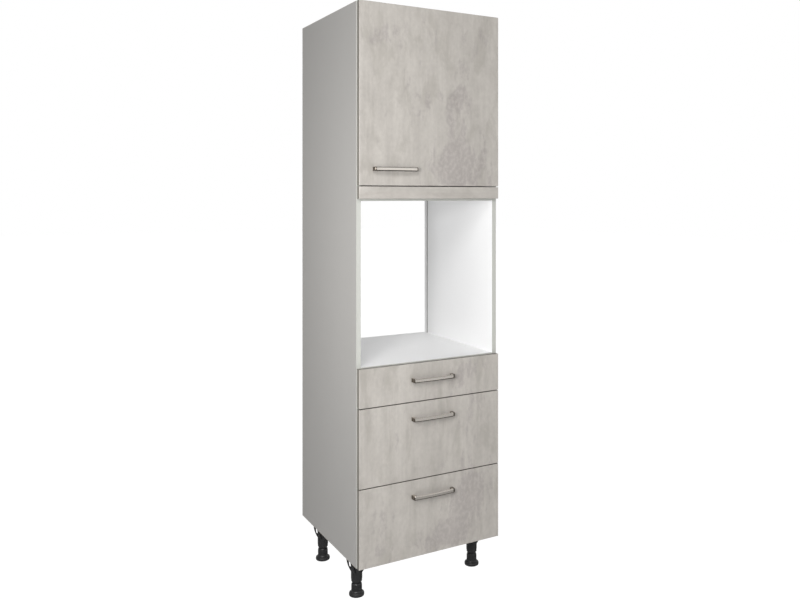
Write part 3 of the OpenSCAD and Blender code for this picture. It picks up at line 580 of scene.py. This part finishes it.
# the share of its own light leaves a tenth for the shadow under the legs
GLOW_SHARE, GLOW = 0.9, 1.12
ray = add_node(tree, "ShaderNodeLightPath").outputs
mirrored = add_node(tree, "ShaderNodeMath", {0: ray["Is Glossy Ray"], 1: ray["Is Transmission Ray"]},
                    operation="MAXIMUM")
seen = add_node(tree, "ShaderNodeMath", {0: ray["Is Camera Ray"], 1: mirrored}, operation="MAXIMUM")
share = add_node(tree, "ShaderNodeMath", {0: seen, 1: GLOW_SHARE}, operation="MULTIPLY")
depth = add_node(tree, "ShaderNodeSeparateXYZ", {0: place}).outputs["Y"]
# painted shade of the cabinet on the floor, as metal mirrors it: the mirrored grey gets darker from 3.5 m to 0.8 m
# in front of the cabinet's middle
grey = add_node(tree, "ShaderNodeMapRange", {"Value": depth, "From Min": -3.5, "From Max": -0.8,
                                             "To Min": 0.72, "To Max": 0.30})
strength = add_node(tree, MIX, {"Factor": mirrored, 2: GLOW, 3: grey})
glow = add_node(tree, "ShaderNodeEmission", {"Color": (1, 1, 1, 1), "Strength": strength})
mixed = add_node(tree, "ShaderNodeMixShader", {0: share, 1: shader.outputs[0], 2: glow})
tree.links.new(mixed.outputs[0], tree.nodes["Material Output"].inputs["Surface"])
mesh.materials.append(floor_finish)
print(f"floor {EAST - WEST} m by {FAR - NEAR} m")

# %% World
# the level that lights the cabinet, and the level of the dim part of the studio in a mirror
LIGHT_LEVEL, DIM = 0.32, 0.37
# each white area: the direction of its middle, and the cosines at which it starts and is full
white_areas = {"high behind": ((0.43, 0.82, 0.37), 0.75, 0.95), "front right": ((0.45, -0.89, 0.0), 0.6, 0.9)}
world = bpy.data.worlds.new("studio")
bpy.context.scene.world = world
world.use_nodes = True
tree = world.node_tree
ray = add_node(tree, "ShaderNodeLightPath").outputs
direction = add_node(tree, "ShaderNodeTexCoord").outputs["Generated"]
levels = []
for towards, starts, full in white_areas.values():
    aim = add_node(tree, "ShaderNodeVectorMath", {0: direction, 1: towards}, operation="DOT_PRODUCT")
    levels.append(add_node(tree, "ShaderNodeMapRange", {"Value": aim.outputs["Value"], "From Min": starts,
                                                        "From Max": full, "To Min": DIM, "To Max": 1.0}))
mirrored = add_node(tree, "ShaderNodeMath", {0: levels[0], 1: levels[1]}, operation="MAXIMUM")
in_mirror = add_node(tree, "ShaderNodeMath", {0: ray["Is Glossy Ray"], 1: ray["Is Transmission Ray"]},
                     operation="MAXIMUM")
level = add_node(tree, MIX, {"Factor": in_mirror, 2: LIGHT_LEVEL, 3: mirrored})
level = add_node(tree, MIX, {"Factor": ray["Is Camera Ray"], 2: level, 3: 1.0})
tree.links.new(level.outputs[0], tree.nodes["Background"].inputs["Strength"])
tree.nodes["Background"].inputs["Color"].default_value = (1, 1, 1, 1)
print("world lights at", LIGHT_LEVEL, "and is white to mirrors", " and ".join(white_areas))

# %% [markdown]
# ## Lamps
# Four soft lamps light the cabinet, at a level at which a colour renders about as it is written: one high up at
# the left for the fronts and their soft shadows, one level with the oven for the niche, a small one close to
# the side panel, which is brightest at half its height near the front, and a weak one low at the right for the
# drawers. The handles would mirror that last one as a white spot, so glossy rays don't see it.

# %% Soft lamps
def soft_lamp(name, place, target, size, power):
    """A rectangular lamp: its place, its target and its size in metres, and its power in watts."""
    data = bpy.data.lights.new(name, "AREA")
    data.shape = "RECTANGLE"
    data.size, data.size_y = size
    data.energy = power
    lamp = bpy.data.objects.new(name, data)
    bpy.context.scene.collection.objects.link(lamp)
    lamp.location = place
    lamp.rotation_euler = (Vector(target) - Vector(place)).to_track_quat("-Z", "Y").to_euler()
    lamp.visible_camera = False
    print(f"lamp {name}: {power} W")
    return lamp


soft_lamp("high", place=(-1.5, -2.3, 2.9), target=(0.0, -0.27, 1.0), size=(1.0, 1.0), power=32)
soft_lamp("level", place=(-1.9, -1.9, 1.5), target=(0.0, -0.1, 1.2), size=(0.7, 0.7), power=34)
low_lamp = soft_lamp("low", place=(0.7, -2.3, 0.5), target=(0.0, -0.27, 0.5), size=(0.8, 0.8), power=3.3)
low_lamp.visible_glossy = False
soft_lamp("beside", place=(-1.0, -0.32, 1.25), target=(-0.3, -0.1, 1.2), size=(0.4, 1.2), power=2.6)
